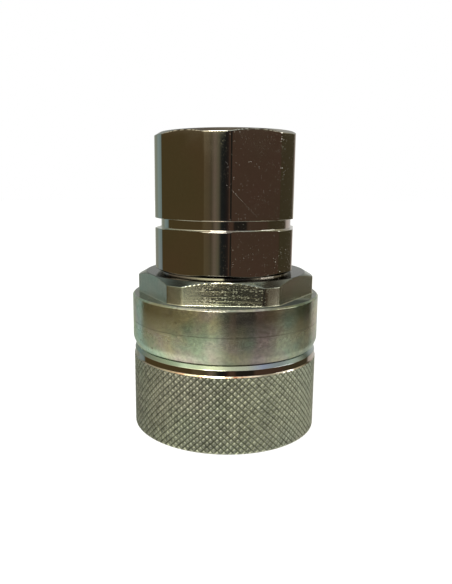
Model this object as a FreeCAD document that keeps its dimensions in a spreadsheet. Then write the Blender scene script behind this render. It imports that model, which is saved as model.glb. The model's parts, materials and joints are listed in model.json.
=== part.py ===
import FreeCAD, Part
import math
import os
import re
import Sketcher

# A screw-to-connect hydraulic coupler half. Z runs along its axis, and z = 0 is the
# mouth of the knurled sleeve, which is the face that meets the other half.
doc = FreeCAD.newDocument("Coupler")
sheet = doc.addObject("Spreadsheet::Sheet", "Sizes")

SIZES = {
    # heights along the axis, from the mouth up
    "mouth_depth": 13.5,
    "flange_height": 4.5,
    "thrust_height": 1.7,
    "thrust_play": 0.25,
    "lip_height": 8.75,
    "sleeve_gap": 0.8,
    "collar_height": 17.15,
    "body_hex_height": 7.5,
    "land_height": 0.8,
    "adaptor_hex_height": 45.35,
    # barrel, from its bore outwards
    "barrel_bore_radius": 17.1,
    "barrel_wall": 4.9,
    "flange_step": 3.6,
    "flange_chamfer": 0.6,
    # sleeve, outside the barrel
    "flange_room": 0.4,
    "sleeve_thread_lead": 1.5,
    "sleeve_thread_stop": 0.6,
    "sleeve_relief": 1.4,
    "sleeve_wall": 4.65,
    "sleeve_land_depth": 0.3,
    "sleeve_land_height": 1.9,
    "sleeve_land_slope": 0.35,
    "sleeve_top_inset": 1.15,
    "sleeve_top_chamfer": 1.2,
    # body
    "collar_proud": 0.25,
    "collar_top_chamfer": 0.8,
    "collar_edge_radial": 1.0,
    "collar_edge_height": 2.0,
    "body_flats": 55.0,
    "body_corner_rise": 2.76,
    "body_crown_inset": 0.1,
    "hex_chamfer_slope": 0.577,
    "barrel_engagement": 10.5,
    "step_height": 2.0,
    "step_lip": 0.2,
    "socket_radius": 21.1,
    # adaptor
    "adaptor_flats": 46.0,
    "adaptor_corner_rise": 1.45,
    "adaptor_crown_inset": 0.5,
    "adaptor_turn": -5.17,
    "adaptor_foot_chamfer": 0.5,
    "land_overlap": 1.2,
    "ring_groove_height": 14.65,
    "ring_groove_width": 3.3,
    "ring_groove_depth": 0.85,
    "ring_groove_corner": 0.9,
    "port_radius": 15.145,
    "port_depth": 20.0,
    "port_lead": 1.755,
    "port_runout": 2.3,
    "port_runout_depth": 1.755,
    "flow_radius": 12.5,
    "nut_room_radius": 15.5,
    "nut_room_height": 14.0,
    # stem and spider
    "stem_head_radius": 11.0,
    "stem_head_height": 4.6,
    "stem_seat_radius": 9.6,
    "stem_cone_height": 3.5,
    "stem_radius": 6.0,
    "stem_tail_radius": 4.0,
    "stem_tail_end": 1.4,
    "stem_tail_chamfer": 0.8,
    "spider_height": 4.5,
    "spider_hole_radius": 3.3,
    "spider_hole_circle": 11.4,
    "spider_holes": 8,
    "nut_flats": 13.0,
    "nut_height": 6.5,
    "lock_washer_height": 1.6,
    "lock_washer_radius": 7.4,
    # valve
    "valve_land_height": 8.5,
    "valve_rib_height": 2.0,
    "valve_rib_radius": 9.9,
    "spring_room": 2.8,
    "valve_skirt_wall": 1.8,
    "valve_travel": 10.0,
    "valve_end_play": 0.2,
    "valve_chamfer": 0.5,
    "guide_ring_width": 2.2,
    "guide_ring_depth": 1.1,
    "guide_ring_margin": 0.82,
    "spring_wire": 1.6,
    "spring_turns": 4,
    "spring_seat_height": 1.2,
    "spring_seat_rim": 2.2,
    # seals: section diameter of each ring, backup ring width and groove position
    "seal_section": 1.9,
    "small_seal_section": 1.6,
    "backup_width": 1.2,
    "nose_groove_offset": 1.2,
    "stem_groove_offset": 0.8,
    "barrel_groove_offset": 1.5,
    "adaptor_groove_offset": 1.4,
    "wiper_offset": 1.6,
    # clearances
    "running_clearance": 0.08,
    "seal_clearance": 0.04,
    "screw_clearance": 0.1,
    "loose_clearance": 0.3,
}

for row, (name, value) in enumerate(SIZES.items(), start=1):
    sheet.set("A%d" % row, name)
    sheet.set("B%d" % row, str(value))
    sheet.setAlias("B%d" % row, name)
doc.recompute()

# Heights along the axis, each worked out from the sizes that stack up to it.
flange_top = "mouth_depth + flange_height"
thrust_top = flange_top + " + thrust_height"
lip_foot = thrust_top + " + thrust_play"
sleeve_top = lip_foot + " + lip_height"
knurl_top = sleeve_top + " - sleeve_top_chamfer - sleeve_land_height - sleeve_land_slope"
collar_foot = sleeve_top + " + sleeve_gap"
collar_top = collar_foot + " + collar_height"
body_top = collar_top + " + body_hex_height"
barrel_top = collar_foot + " + barrel_engagement"
spider_foot = barrel_top + " + step_height"
spider_top = spider_foot + " + spider_height"
hex_foot = body_top + " + land_height"
hex_top = hex_foot + " + adaptor_hex_height"
valve_land_top = "mouth_depth + valve_land_height"
valve_top = spider_foot + " - valve_end_play - valve_travel"
spring_seat_foot = spider_foot + " - spring_seat_height"
nut_foot = spider_top + " + lock_washer_height"
stem_head_top = "mouth_depth + stem_head_height"

# Radii that follow from one another, from the barrel's bore outwards.
barrel_radius = "barrel_bore_radius + barrel_wall"
flange_radius = barrel_radius + " + flange_step"
thread_radius = flange_radius + " + flange_room"
relief_radius = thread_radius + " + sleeve_relief"
sleeve_radius = relief_radius + " + sleeve_wall"
collar_radius = sleeve_radius + " + collar_proud"
lip_bore = barrel_radius + " + running_clearance"
barrel_thread = barrel_radius + " + screw_clearance"
step_bore = "barrel_bore_radius + step_lip"
seat_washer_radius = step_bore + " - loose_clearance"
valve_radius = "barrel_bore_radius - running_clearance"
skirt_radius = "barrel_bore_radius - spring_room"
skirt_bore = skirt_radius + " - valve_skirt_wall"
valve_bore = "stem_head_radius + running_clearance"

# Radii of the hexagons' turned corners and of what screws into the socket.
spigot_radius = "socket_radius - screw_clearance"
body_corner = "body_flats / 2 + body_corner_rise"
body_crown = "body_flats / 2 - body_crown_inset"
adaptor_corner = "adaptor_flats / 2 + adaptor_corner_rise"
adaptor_crown = "adaptor_flats / 2 - adaptor_crown_inset"


def bound(text):
    """The expression with the sheet's name before each size it uses."""
    def named(word):
        return "Sizes." + word.group() if word.group() in SIZES else word.group()

    return re.sub(r"[a-z][a-z_]+", named, text)


def value(text):
    return float(sheet.evalExpression(text))


def plane_of(body, role):
    return [item for item in body.Origin.OriginFeatures if item.Role == role][0]


def new_body(node):
    body = doc.addObject("PartDesign::Body", node)
    body.Label = node
    return body


def new_sketch(body, name, role):
    sketch = body.newObject("Sketcher::SketchObject", body.Name + "_" + name)
    sketch.AttachmentSupport = [(plane_of(body, role), "")]
    sketch.MapMode = "FlatFace"
    return sketch


def pin_vertex(sketch, edge, across, up):
    """Tie the first end of an edge to two expressions, measured from the origin."""
    for kind, text, axis in (("DistanceX", across, -2), ("DistanceY", up, -1)):
        if text == "0":
            sketch.addConstraint(Sketcher.Constraint("PointOnObject", edge, 1, axis))
            continue
        index = sketch.addConstraint(
            Sketcher.Constraint(kind, -1, 1, edge, 1, value(text)))
        sketch.setExpression("Constraints[%d]" % index, bound(text))


def draw_outline(sketch, points):
    """A closed outline of straight lines through points given as expressions."""
    places = [FreeCAD.Vector(value(x), value(y), 0) for x, y in points]
    first = sketch.GeometryCount
    count = len(points)
    for i in range(count):
        sketch.addGeometry(Part.LineSegment(places[i], places[(i + 1) % count]), False)
    for i in range(count):
        ends = (first + i, 2, first + (i + 1) % count, 1)
        sketch.addConstraint(Sketcher.Constraint("Coincident", *ends))
    for i, (across, up) in enumerate(points):
        pin_vertex(sketch, first + i, across, up)


def lathe(node, points):
    """A turned piece: its outline is (radius, height) and turns about the Z axis."""
    body = new_body(node)
    sketch = new_sketch(body, "outline", "XZ_Plane")
    draw_outline(sketch, points)
    turned = body.newObject("PartDesign::Revolution", node + "_turned")
    turned.Profile = sketch
    turned.ReferenceAxis = (sketch, ["V_Axis"])
    turned.Angle = 360
    doc.recompute()
    return body


def ring(node, inner, outer, foot, top):
    return lathe(node, [(inner, foot), (outer, foot), (outer, top), (inner, top)])


def slot(wall, floor, foot, top):
    """The four corners of a square groove in a wall, from its foot to its top."""
    return [(wall, foot), (floor, foot), (floor, top), (wall, top)]


def checked_cut(body, before):
    doc.recompute()
    if body.Shape.Volume >= before - 1.0:
        raise RuntimeError(body.Label + ": a cut removed nothing")


def mill_hexagon(body, flats, foot, height, turn):
    """Mill six flats on a turned blank between a foot and a height above it."""
    before = body.Shape.Volume
    sketch = new_sketch(body, "flats", "XY_Plane")
    sketch.setExpression("AttachmentOffset.Base.z", bound(foot))
    sketch.setExpression("AttachmentOffset.Rotation.Angle", bound(turn))
    corner = flats + " / sqrt(3)"
    half = flats + " / 2"
    near = flats + " / sqrt(12)"
    draw_outline(sketch, [
        (corner, "0"), (near, half), ("-" + near, half),
        ("-" + corner, "0"), ("-" + near, "-" + half), (near, "-" + half)])
    rim = Part.Circle(FreeCAD.Vector(), FreeCAD.Vector(0, 0, 1), value(flats) * 0.7)
    edge = sketch.addGeometry(rim, False)
    sketch.addConstraint(Sketcher.Constraint("Coincident", edge, 3, -1, 1))
    index = sketch.addConstraint(
        Sketcher.Constraint("Radius", edge, value(flats) * 0.7))
    sketch.setExpression("Constraints[%d]" % index, bound(flats + " * 0.7"))
    milled = body.newObject("PartDesign::Pocket", body.Name + "_milled")
    milled.Profile = sketch
    milled.Reversed = True
    milled.setExpression("Length", bound(height))
    checked_cut(body, before)


def seal(node, axis_radius, section, middle):
    """An O-ring: a round section turned about the axis at its own height."""
    item = doc.addObject("Part::Torus", node)
    item.Label = node
    item.setExpression("Radius1", bound(axis_radius))
    item.setExpression("Radius2", bound(section + " / 2"))
    item.setExpression("Placement.Base.z", bound(middle))
    return item


# A seal groove holds one O-ring and, above it, one flat backup ring. Its width and
# depth leave seal_clearance on each side of both.
def groove_top(foot, section, backup):
    return foot + " + " + section + " + " + backup + " + 3 * seal_clearance"


def outward_floor(bore, section):
    """Floor of a groove cut in the inner piece, whose ring seals on a bore."""
    return bore + " - " + section + " - 2 * seal_clearance"


def inward_floor(shaft, section):
    """Floor of a groove cut in the outer piece, whose ring seals on a shaft."""
    return shaft + " + " + section + " + 2 * seal_clearance"


def fill_groove(seal_node, backup_node, seal_axis, inner, outer, section, foot):
    middle = foot + " + seal_clearance + " + section + " / 2"
    seal(seal_node, seal_axis, section, middle)
    backup_foot = foot + " + 2 * seal_clearance + " + section
    ring(backup_node, inner, outer, backup_foot, backup_foot + " + backup_width")


# Grooves: where each one starts, the wall that its ring seals on, and its floor.
nose_foot = "mouth_depth + nose_groove_offset"
nose_floor = inward_floor(valve_radius, "seal_section")
stem_foot = "mouth_depth + stem_groove_offset"
stem_floor = outward_floor(valve_bore, "small_seal_section")
barrel_foot = (barrel_top + " - barrel_groove_offset - seal_section"
               " - backup_width - 3 * seal_clearance")
barrel_floor = outward_floor(barrel_thread, "seal_section")
adaptor_foot = spider_top + " + adaptor_groove_offset"
adaptor_floor = outward_floor("socket_radius", "seal_section")
wiper_top = sleeve_top + " - wiper_offset"
wiper_foot = wiper_top + " - seal_section - 2 * seal_clearance"
wiper_floor = outward_floor(lip_bore, "seal_section")
guide_top = valve_land_top + " - guide_ring_margin"
guide_foot = guide_top + " - guide_ring_width - 2 * seal_clearance"
guide_floor = valve_radius + " - guide_ring_depth"


def make_adaptor():
    crown_drop = "(adaptor_corner_rise + adaptor_crown_inset) * hex_chamfer_slope"
    land_radius = "socket_radius + land_overlap"
    groove_low = hex_foot + " + ring_groove_height"
    groove_high = groove_low + " + ring_groove_width"
    groove_radius = "adaptor_flats / 2 - ring_groove_depth"
    groove_shoulder = groove_radius + " + ring_groove_corner"
    port_foot = hex_top + " - port_depth"
    runout_foot = port_foot + " - port_runout"
    port_mouth = "port_radius + port_lead"
    runout_radius = "port_radius + port_runout_depth"
    nut_room_top = spider_top + " + nut_room_height"
    foot_break = adaptor_corner + " - adaptor_foot_chamfer"
    seal_top = groove_top(adaptor_foot, "seal_section", "backup_width")
    points = [("nut_room_radius", spider_top), (spigot_radius, spider_top)]
    points += slot(spigot_radius, adaptor_floor, adaptor_foot, seal_top)
    points += [
        (spigot_radius, body_top),
        (land_radius, body_top),
        (land_radius, hex_foot),
        (foot_break, hex_foot),
        (adaptor_corner, hex_foot + " + adaptor_foot_chamfer"),
        (adaptor_corner, groove_low),
        (groove_shoulder, groove_low),
        (groove_radius, groove_low + " + ring_groove_corner"),
        (groove_radius, groove_high + " - ring_groove_corner"),
        (groove_shoulder, groove_high),
        (adaptor_corner, groove_high),
        (adaptor_corner, hex_top + " - " + crown_drop),
        (adaptor_crown, hex_top),
        (port_mouth, hex_top),
        ("port_radius", hex_top + " - port_lead"),
        ("port_radius", port_foot),
        (runout_radius, port_foot),
        (runout_radius, runout_foot),
        ("flow_radius", runout_foot),
        ("flow_radius", nut_room_top),
        ("nut_room_radius", nut_room_top)]
    body = lathe("rear_adaptor", points)
    turn = "-30 + adaptor_turn"
    mill_hexagon(body, "adaptor_flats", hex_foot, "adaptor_hex_height", turn)
    fill_groove("adaptor_seal_ring", "adaptor_backup_ring",
                "socket_radius - seal_clearance - seal_section / 2",
                adaptor_floor + " + seal_clearance",
                "socket_radius - seal_clearance", "seal_section", adaptor_foot)


def make_hex_collar_body():
    crown_drop = "(body_corner_rise + body_crown_inset) * hex_chamfer_slope"
    body = lathe("hex_collar_body", [
        (step_bore, barrel_top),
        (barrel_thread, barrel_top),
        (barrel_thread, collar_foot),
        (collar_radius + " - collar_edge_radial", collar_foot),
        (collar_radius, collar_foot + " + collar_edge_height"),
        (collar_radius, collar_top + " - collar_top_chamfer"),
        (collar_radius + " - collar_top_chamfer", collar_top),
        (body_corner, collar_top),
        (body_corner, body_top + " - " + crown_drop),
        (body_crown, body_top),
        ("socket_radius", body_top),
        ("socket_radius", spider_foot),
        (step_bore, spider_foot)])
    mill_hexagon(body, "body_flats", collar_top, "body_hex_height", "0 * adaptor_turn")


def make_inner_barrel():
    nose_top = groove_top(nose_foot, "seal_section", "backup_width")
    barrel_seal_top = groove_top(barrel_foot, "seal_section", "backup_width")
    points = [("barrel_bore_radius", "mouth_depth")]
    points += [(flange_radius + " - flange_chamfer", "mouth_depth"),
               (flange_radius, "mouth_depth + flange_chamfer"),
               (flange_radius, flange_top),
               (barrel_radius, flange_top)]
    points += slot(barrel_radius, wiper_floor, wiper_foot, wiper_top)
    points += slot(barrel_radius, barrel_floor, barrel_foot, barrel_seal_top)
    points += [(barrel_radius, barrel_top), ("barrel_bore_radius", barrel_top)]
    points += slot("barrel_bore_radius", nose_floor, nose_top, nose_foot)
    lathe("inner_barrel", points)
    fill_groove("nose_seal_ring", "nose_backup_ring",
                valve_radius + " + seal_clearance + seal_section / 2",
                valve_radius + " + seal_clearance",
                nose_floor + " - seal_clearance", "seal_section", nose_foot)
    fill_groove("barrel_seal_ring", "barrel_backup_ring",
                barrel_thread + " - seal_clearance - seal_section / 2",
                barrel_floor + " + seal_clearance",
                barrel_thread + " - seal_clearance", "seal_section", barrel_foot)


def make_sleeve():
    lead_radius = thread_radius + " + sleeve_thread_lead"
    land_radius = sleeve_radius + " - sleeve_land_depth"
    thread_top = "mouth_depth - sleeve_thread_stop"
    land_foot = knurl_top + " + sleeve_land_slope"
    land_top = sleeve_top + " - sleeve_top_chamfer"
    lathe("knurled_sleeve", [
        (lead_radius, "0"),
        (sleeve_radius, "0"),
        (sleeve_radius, knurl_top),
        (land_radius, land_foot),
        (land_radius, land_top),
        (sleeve_radius + " - sleeve_top_inset", sleeve_top),
        (lip_bore, sleeve_top),
        (lip_bore, lip_foot),
        (relief_radius, lip_foot),
        (relief_radius, thread_top),
        (thread_radius, thread_top),
        (thread_radius, "sleeve_thread_lead")])
    ring("thrust_washer", barrel_thread, flange_radius, flange_top, thrust_top)
    seal("sleeve_wiper_ring", lip_bore + " - seal_clearance - seal_section / 2",
         "seal_section", wiper_foot + " + seal_clearance + seal_section / 2")


def make_valve():
    rib_top = stem_head_top + " + valve_rib_height"
    points = [
        (valve_bore, "mouth_depth"),
        (valve_radius + " - valve_chamfer", "mouth_depth"),
        (valve_radius, "mouth_depth + valve_chamfer")]
    points += slot(valve_radius, guide_floor, guide_foot, guide_top)
    points += [
        (valve_radius, valve_land_top),
        (skirt_radius, valve_land_top),
        (skirt_radius, valve_top),
        (skirt_bore, valve_top),
        (skirt_bore, rib_top),
        ("valve_rib_radius", rib_top),
        ("valve_rib_radius", stem_head_top),
        (valve_bore, stem_head_top)]
    lathe("sliding_valve", points)
    ring("valve_guide_ring", guide_floor + " + seal_clearance",
         "barrel_bore_radius - seal_clearance",
         guide_foot + " + seal_clearance",
         guide_foot + " + seal_clearance + guide_ring_width")


def make_spring():
    """The wire follows a helix between the valve's shoulder and the seat washer."""
    middle = "barrel_bore_radius - spring_room / 2"
    foot = valve_land_top + " + screw_clearance + spring_wire / 2"
    height = (spring_seat_foot + " - (" + valve_land_top + ")"
              " - spring_wire - 2 * screw_clearance")
    body = new_body("valve_spring")
    sketch = new_sketch(body, "wire", "XZ_Plane")
    centre = FreeCAD.Vector(value(middle), value(foot), 0)
    radius = value("spring_wire / 2")
    wire = Part.Circle(centre, FreeCAD.Vector(0, 0, 1), radius)
    edge = sketch.addGeometry(wire, False)
    for kind, ends, text in (("DistanceX", (-1, 1, edge, 3), middle),
                             ("DistanceY", (-1, 1, edge, 3), foot),
                             ("Radius", (edge,), "spring_wire / 2")):
        index = sketch.addConstraint(Sketcher.Constraint(kind, *ends, value(text)))
        sketch.setExpression("Constraints[%d]" % index, bound(text))
    coil = body.newObject("PartDesign::AdditiveHelix", "valve_spring_coil")
    coil.Profile = sketch
    coil.ReferenceAxis = (sketch, ["V_Axis"])
    coil.Mode = "height-turns-angle"
    coil.setExpression("Height", bound(height))
    coil.setExpression("Turns", bound("spring_turns"))
    doc.recompute()
    length = math.hypot(value(height), 2 * math.pi * value(middle) * coil.Turns)
    if abs(body.Shape.Volume / (math.pi * radius ** 2 * length) - 1) > 0.03:
        raise RuntimeError("valve_spring: its volume does not match its wire")
    ring("spring_seat_washer", seat_washer_radius + " - spring_seat_rim",
         seat_washer_radius, spring_seat_foot, spider_foot)


def make_stem():
    seal_top = groove_top(stem_foot, "small_seal_section", "backup_width")
    tail_end = nut_foot + " + nut_height + stem_tail_end"
    axis = "0"
    points = [(axis, "mouth_depth"), ("stem_head_radius", "mouth_depth")]
    points += slot("stem_head_radius", stem_floor, stem_foot, seal_top)
    points += [
        ("stem_head_radius", stem_head_top),
        ("stem_seat_radius", stem_head_top),
        ("stem_radius", stem_head_top + " + stem_cone_height"),
        ("stem_radius", spider_foot),
        ("stem_tail_radius", spider_foot),
        ("stem_tail_radius", tail_end + " - stem_tail_chamfer"),
        ("stem_tail_radius - stem_tail_chamfer", tail_end),
        (axis, tail_end)]
    lathe("valve_stem", points)
    fill_groove("stem_seal_ring", "stem_backup_ring",
                valve_bore + " - seal_clearance - small_seal_section / 2",
                stem_floor + " + seal_clearance",
                valve_bore + " - seal_clearance", "small_seal_section", stem_foot)


def make_spider():
    """The disc that carries the stem, with a circle of flow holes round its hub."""
    body = ring("stem_spider", "stem_tail_radius + screw_clearance", spigot_radius,
                spider_foot, spider_top)
    before = body.Shape.Volume
    sketch = new_sketch(body, "hole", "XY_Plane")
    sketch.setExpression("AttachmentOffset.Base.z", bound(spider_foot))
    hole = Part.Circle(FreeCAD.Vector(value("spider_hole_circle"), 0, 0),
                       FreeCAD.Vector(0, 0, 1), value("spider_hole_radius"))
    edge = sketch.addGeometry(hole, False)
    sketch.addConstraint(Sketcher.Constraint("PointOnObject", edge, 3, -1))
    for kind, ends, name in (("DistanceX", (-1, 1, edge, 3), "spider_hole_circle"),
                             ("Radius", (edge,), "spider_hole_radius")):
        index = sketch.addConstraint(Sketcher.Constraint(kind, *ends, value(name)))
        sketch.setExpression("Constraints[%d]" % index, bound(name))
    drilled = body.newObject("PartDesign::Pocket", "stem_spider_drilled")
    drilled.Profile = sketch
    drilled.Reversed = True
    drilled.setExpression("Length", bound("spider_height"))
    doc.recompute()
    around = body.newObject("PartDesign::PolarPattern", "stem_spider_holes")
    around.Originals = [drilled]
    around.Axis = (sketch, ["N_Axis"])
    around.Angle = 360
    around.setExpression("Occurrences", bound("spider_holes"))
    body.Tip = around
    hole_volume = math.pi * value("spider_hole_radius") ** 2 * value("spider_height")
    checked_cut(body, before - (value("spider_holes") - 0.5) * hole_volume)


def make_nut():
    ring("stem_lock_washer", "stem_tail_radius + screw_clearance",
         "lock_washer_radius", spider_top, nut_foot)
    blank = doc.addObject("Part::Prism", "NutBlank")
    blank.Polygon = 6
    blank.setExpression("Circumradius", bound("nut_flats / sqrt(3)"))
    blank.setExpression("Height", bound("nut_height"))
    blank.setExpression("Placement.Base.z", bound(nut_foot))
    bore = doc.addObject("Part::Cylinder", "NutBore")
    bore.setExpression("Radius", bound("stem_tail_radius + seal_clearance"))
    bore.setExpression("Height", bound("nut_height"))
    bore.setExpression("Placement.Base.z", bound(nut_foot))
    nut = doc.addObject("Part::Cut", "stem_nut")
    nut.Label = "stem_nut"
    nut.Base = blank
    nut.Tool = bore


make_adaptor()
make_hex_collar_body()
make_inner_barrel()
make_sleeve()
make_valve()
make_spring()
make_stem()
make_spider()
make_nut()
doc.recompute()

nodes = [
    "rear_adaptor", "adaptor_seal_ring", "adaptor_backup_ring",
    "hex_collar_body", "inner_barrel",
    "nose_seal_ring", "nose_backup_ring", "barrel_seal_ring", "barrel_backup_ring",
    "knurled_sleeve", "thrust_washer", "sleeve_wiper_ring",
    "sliding_valve", "valve_guide_ring", "valve_spring", "spring_seat_washer",
    "valve_stem", "stem_seal_ring", "stem_backup_ring",
    "stem_spider", "stem_lock_washer", "stem_nut",
]

for item in doc.Objects:
    if "Invalid" in item.State or "Error" in item.State:
        raise RuntimeError(item.Name + " did not build: " + str(item.State))

parts = {}
for node in nodes:
    part = doc.getObjectsByLabel(node)[0]
    if part.Shape.isNull() or not part.Shape.isValid() or len(part.Shape.Solids) != 1:
        raise RuntimeError(node + " is not one valid solid")
    parts[node] = part

os.makedirs("parts", exist_ok=True)
for node, part in parts.items():
    part.Shape.exportStep("parts/" + node + ".step")
    box = part.Shape.BoundBox
    print("%-20s z %7.2f to %7.2f, across %6.2f, %9.1f mm3" % (
        node, box.ZMin, box.ZMax, box.XLength, part.Shape.Volume))
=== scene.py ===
import json
import math

import bpy
import numpy as np
from mathutils import Matrix, Vector


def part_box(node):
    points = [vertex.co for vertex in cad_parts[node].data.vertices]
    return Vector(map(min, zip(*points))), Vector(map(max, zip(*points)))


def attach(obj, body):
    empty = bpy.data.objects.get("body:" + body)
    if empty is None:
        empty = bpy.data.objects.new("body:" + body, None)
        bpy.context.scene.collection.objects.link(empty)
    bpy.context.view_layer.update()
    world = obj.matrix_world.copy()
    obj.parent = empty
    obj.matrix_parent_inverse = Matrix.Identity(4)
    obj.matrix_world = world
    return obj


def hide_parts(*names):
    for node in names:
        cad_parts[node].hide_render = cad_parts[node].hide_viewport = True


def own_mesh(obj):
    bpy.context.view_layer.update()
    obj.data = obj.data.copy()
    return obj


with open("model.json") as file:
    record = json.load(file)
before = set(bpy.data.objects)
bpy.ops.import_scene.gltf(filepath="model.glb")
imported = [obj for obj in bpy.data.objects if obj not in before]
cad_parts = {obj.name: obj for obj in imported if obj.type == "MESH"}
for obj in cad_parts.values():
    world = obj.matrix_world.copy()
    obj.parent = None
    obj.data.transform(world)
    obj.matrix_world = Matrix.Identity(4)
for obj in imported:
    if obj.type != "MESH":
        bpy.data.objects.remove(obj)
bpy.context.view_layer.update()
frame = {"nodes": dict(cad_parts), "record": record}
scene = bpy.context.scene
mm = 0.001
turn = 2 * math.pi
hair = 0.01  # heights and radii nearer than this, in millimetres, count as the same
crease = 0.02  # how far apart two rings stand that keep an edge crisp


def heights(node):
    # Lowest and highest point of a CAD node, in millimetres.
    low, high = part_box(node)
    return low.z / mm, high.z / mm


def radiusOf(node):
    low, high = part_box(node)
    return (high.y - low.y) / 2 / mm


bodyFoot, bodyTop = heights("hex_collar_body")
adaptorFoot, adaptorTop = heights("rear_adaptor")
sleeveTop = heights("knurled_sleeve")[1]
barrelTop = heights("inner_barrel")[1]
spiderFoot = heights("stem_spider")[0]
mounts = {mount["name"]: mount["dims"] for mount in frame["record"]["mounts"]}
portMinor = mounts["port"]["r_mm"]
mouthMinor = mounts["sleeve_thread"]["r_mm"]
print("frame loaded:", len(frame["nodes"]), "nodes")


def roundedOutline(corners, steps=4, support=0.12):
    # A closed outline of (radius, height, rounding). Each corner becomes an arc that is
    # tangent to both of its sides, and a point just beyond each end of the arc keeps
    # the flat stretch next to it flat. A rounding of 0 leaves the corner sharp.
    points = []
    count = len(corners)
    place = np.array([corner[:2] for corner in corners], float)
    for i, here in enumerate(place):
        rounding = corners[i][2]
        back = place[i - 1] - here
        ahead = place[(i + 1) % count] - here
        lengths = np.linalg.norm(back), np.linalg.norm(ahead)
        back, ahead = back / lengths[0], ahead / lengths[1]
        half = math.acos(float(np.clip(back @ ahead, -1, 1))) / 2
        if rounding == 0 or half > 1.55:
            points.append(here)
            continue
        reach = min(rounding / math.tan(half), 0.42 * min(lengths))
        arcRadius = reach * math.tan(half)
        bisector = (back + ahead) / np.linalg.norm(back + ahead)
        centre = here + bisector * arcRadius / math.sin(half)
        start, end = here + back * reach, here + ahead * reach
        sweep = np.linspace(0, 1, steps + 1)[:, None]
        chord = start * (1 - sweep) + end * sweep - centre
        arc = centre + chord / np.linalg.norm(chord, axis=1)[:, None] * arcRadius
        if lengths[0] > 4 * reach + support:
            points.append(start + back * support)
        points.extend(arc)
        if lengths[1] > 4 * reach + support:
            points.append(end + ahead * support)
    return np.array(points)


def softMin(first, second, blend):
    # The smaller of two lengths, with the crossing rounded over the blend width.
    mix = np.clip(0.5 + 0.5 * (second - first) / blend, 0, 1)
    return second * (1 - mix) + first * mix - blend * mix * (1 - mix)


def hexRadius(angles, flats, cornerAt):
    # Distance from the axis to a hexagon's side at each angle, with one corner at cornerAt:
    # half the width across flats, divided by the cosine of the angle from the flat's middle.
    fromFlat = (angles - cornerAt) % (turn / 6) - turn / 12
    return flats / 2 / np.cos(fromFlat)


def ringPoints(angles, radii, height):
    radii = np.broadcast_to(radii, angles.shape)
    height = np.broadcast_to(height, angles.shape)
    return np.stack([radii * np.cos(angles), radii * np.sin(angles), height], 1)


def evenAngles(count, start=0.0):
    return start + np.arange(count) * turn / count


def placed(name, data):
    thing = bpy.data.objects.new(name, data)
    scene.collection.objects.link(thing)
    return thing


def meshPiece(name, points, faces, sharpAbove):
    # Points in metres. Edges bent by more than sharpAbove degrees stay sharp.
    mesh = bpy.data.meshes.new(name)
    mesh.from_pydata(points.tolist(), [], faces)
    mesh.shade_smooth()
    mesh.set_sharp_from_angle(angle=math.radians(sharpAbove))
    return placed(name, mesh)


class RingMesh:
    # A closed surface made of rings of points about the axis. Two rings in a row with the
    # same count are joined by quads, or by quads cut in four about a middle point; a ring
    # with fewer points is joined by flat faces that each take several of the finer points.
    def __init__(self, name):
        self.name = name
        self.points, self.faces = [], []
        self.total = 0
        self.previous = self.first = None
        self.marks = []

    def add(self, points, mark=0.0):
        start = self.total
        self.points.append(points)
        self.marks.append(np.broadcast_to(mark, (len(points),)))
        self.total += len(points)
        return np.arange(start, self.total)

    def ring(self, points, middles=None, mark=0.0, middleMark=0.0):
        index = self.add(points, mark)
        if self.previous is not None:
            self.join(self.previous, index, middles, middleMark)
        else:
            self.first = index
        self.previous = index

    def rings(self, angles, radius, *heights):
        for height in heights:
            self.ring(ringPoints(angles, radius, height))

    def join(self, low, high, middles=None, middleMark=0.0):
        lowNext, highNext = np.roll(low, -1), np.roll(high, -1)
        if middles is not None:
            centre = self.add(middles, middleMark)
            for a, b in ((low, lowNext), (lowNext, highNext), (highNext, high), (high, low)):
                self.faces.extend(np.stack([a, b, centre], 1).tolist())
        elif len(low) == len(high):
            self.faces.extend(np.stack([low, lowNext, highNext, high], 1).tolist())
        elif len(low) > len(high):
            step = len(low) // len(high)
            fine = np.stack([np.roll(low, -k)[::step] for k in range(step + 1)], 1)
            sides = np.concatenate([fine, highNext[:, None], high[:, None]], 1)
            self.faces.extend(sides.tolist())
        else:
            step = len(high) // len(low)
            fine = np.stack([np.roll(high, -k)[::step] for k in range(step, -1, -1)], 1)
            sides = np.concatenate([low[:, None], lowNext[:, None], fine], 1)
            self.faces.extend(sides.tolist())

    def build(self, markName=None, sharpAbove=32.0):
        # The last ring is joined to the first, so the surface is closed.
        self.join(self.previous, self.first)
        piece = meshPiece(self.name, np.concatenate(self.points) * mm, self.faces, sharpAbove)
        if markName:
            layer = piece.data.attributes.new(markName, "FLOAT", "POINT")
            layer.data.foreach_set("value", np.concatenate(self.marks).astype(np.float32))
        return piece


def faceCentres(piece):
    centres = np.empty(len(piece.data.polygons) * 3)
    piece.data.polygons.foreach_get("center", centres)
    return centres.reshape(-1, 3) / mm


def setFinishes(piece, choice, materials):
    # Gives each face the material whose number stands in choice.
    piece.data.materials.clear()
    for material in materials:
        piece.data.materials.append(material)
    piece.data.polygons.foreach_set("material_index", choice.astype(np.int32))


def finishPiece(piece, body, node):
    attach(piece, body)
    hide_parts(node)
    print(piece.name, "has", len(piece.data.polygons), "faces")


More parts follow.
